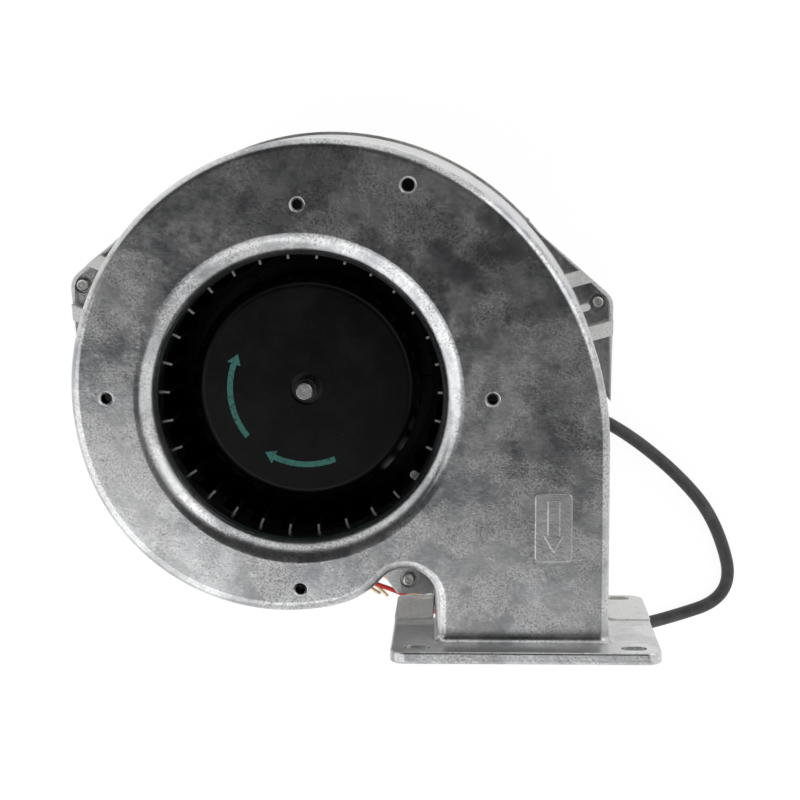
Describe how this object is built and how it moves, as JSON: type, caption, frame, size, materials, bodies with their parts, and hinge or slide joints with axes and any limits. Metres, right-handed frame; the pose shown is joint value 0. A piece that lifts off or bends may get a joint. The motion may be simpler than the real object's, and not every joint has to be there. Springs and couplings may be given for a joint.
{
  "type": "centrifugal fan",
  "caption": "Single inlet centrifugal fan: die cast scroll casing, forward curved impeller on an external rotor motor, slotted square outlet flange and free cable.",
  "frame": {"origin": "on the fan axis, at the flat rear face of the motor cover that the fan rests on", "axes": "+Z along the fan axis towards the inlet, -Y the way the air leaves the outlet flange, +X to the right when the inlet faces the viewer and the outlet points down"},
  "size_m": [0.2439, 0.1921, 0.098],
  "materials": {
    "cast_aluminium": "die cast, tumbled, lightly stained",
    "zinc_steel": "zinc plated",
    "black_plastic": "matte",
    "white_plastic": "matte",
    "grommet_rubber": "matte",
    "spring_steel": "satin",
    "lamination_steel": "stamped, dull",
    "copper": "enamelled copper wire",
    "board_green": "solder mask",
    "bearing_steel": "ground",
    "black_paint": "semi gloss black",
    "magnet_ferrite": "dull dark grey",
    "black_coated_steel": "satin black",
    "cable_pvc": "matte charcoal",
    "lead_red": "satin",
    "lead_yellow": "satin",
    "lead_blue": "satin",
    "lead_white": "satin",
    "brass": "tinned sleeve"
  },
  "bodies": {
    "casing": {"front_housing": "cast_aluminium", "rear_housing": "cast_aluminium", "housing_screws": "zinc_steel", "motor_flange": "cast_aluminium", "motor_screws": "zinc_steel", "rear_cover": "black_plastic", "cover_screws": "zinc_steel", "cable_grommet": "grommet_rubber", "preload_spring": "spring_steel", "stator_laminations": "lamination_steel", "stator_insulator_front": "white_plastic", "stator_insulator_rear": "white_plastic", "stator_coils": "copper", "circuit_board": "board_green", "capacitor": "black_plastic", "power_transistors": "black_plastic", "hall_sensors": "black_plastic", "front_bearing_outer_ring": "bearing_steel", "rear_bearing_outer_ring": "bearing_steel", "cable_sheath": "cable_pvc", "lead_red": "lead_red", "lead_yellow": "lead_yellow", "lead_blue": "lead_blue", "lead_white": "lead_white", "wire_ferrules": "brass"},
    "rotor": {"shaft": "bearing_steel", "shaft_clip": "spring_steel", "rotor_bush": "bearing_steel", "rotor_cup": "black_paint", "rotor_magnets": "magnet_ferrite", "impeller_disc": "black_coated_steel", "impeller_blades": "black_coated_steel", "impeller_ring": "black_coated_steel", "impeller_rivets": "zinc_steel", "balance_clip": "spring_steel", "front_bearing_inner_ring": "bearing_steel", "rear_bearing_inner_ring": "bearing_steel"},
    "front_cage": {"front_bearing_balls": "bearing_steel", "front_bearing_cage": "white_plastic"},
    "rear_cage": {"rear_bearing_balls": "bearing_steel", "rear_bearing_cage": "white_plastic"}
  },
  "joints": [
    {"name": "rotor_spin", "type": "hinge", "parent": "casing", "child": "rotor", "pos_m": [0, 0, 0.05], "axis": [0, 0, 1], "continuous": true},
    {"name": "front_cage_spin", "type": "hinge", "parent": "casing", "child": "front_cage", "pos_m": [0, 0, 0.042], "axis": [0, 0, 1], "continuous": true},
    {"name": "rear_cage_spin", "type": "hinge", "parent": "casing", "child": "rear_cage", "pos_m": [0, 0, 0.009], "axis": [0, 0, 1], "continuous": true}
  ],
  "couplings": [
    {"joint": "front_cage_spin", "follows": "rotor_spin", "ratio": 0.3805},
    {"joint": "rear_cage_spin", "follows": "rotor_spin", "ratio": 0.3805}
  ]
}
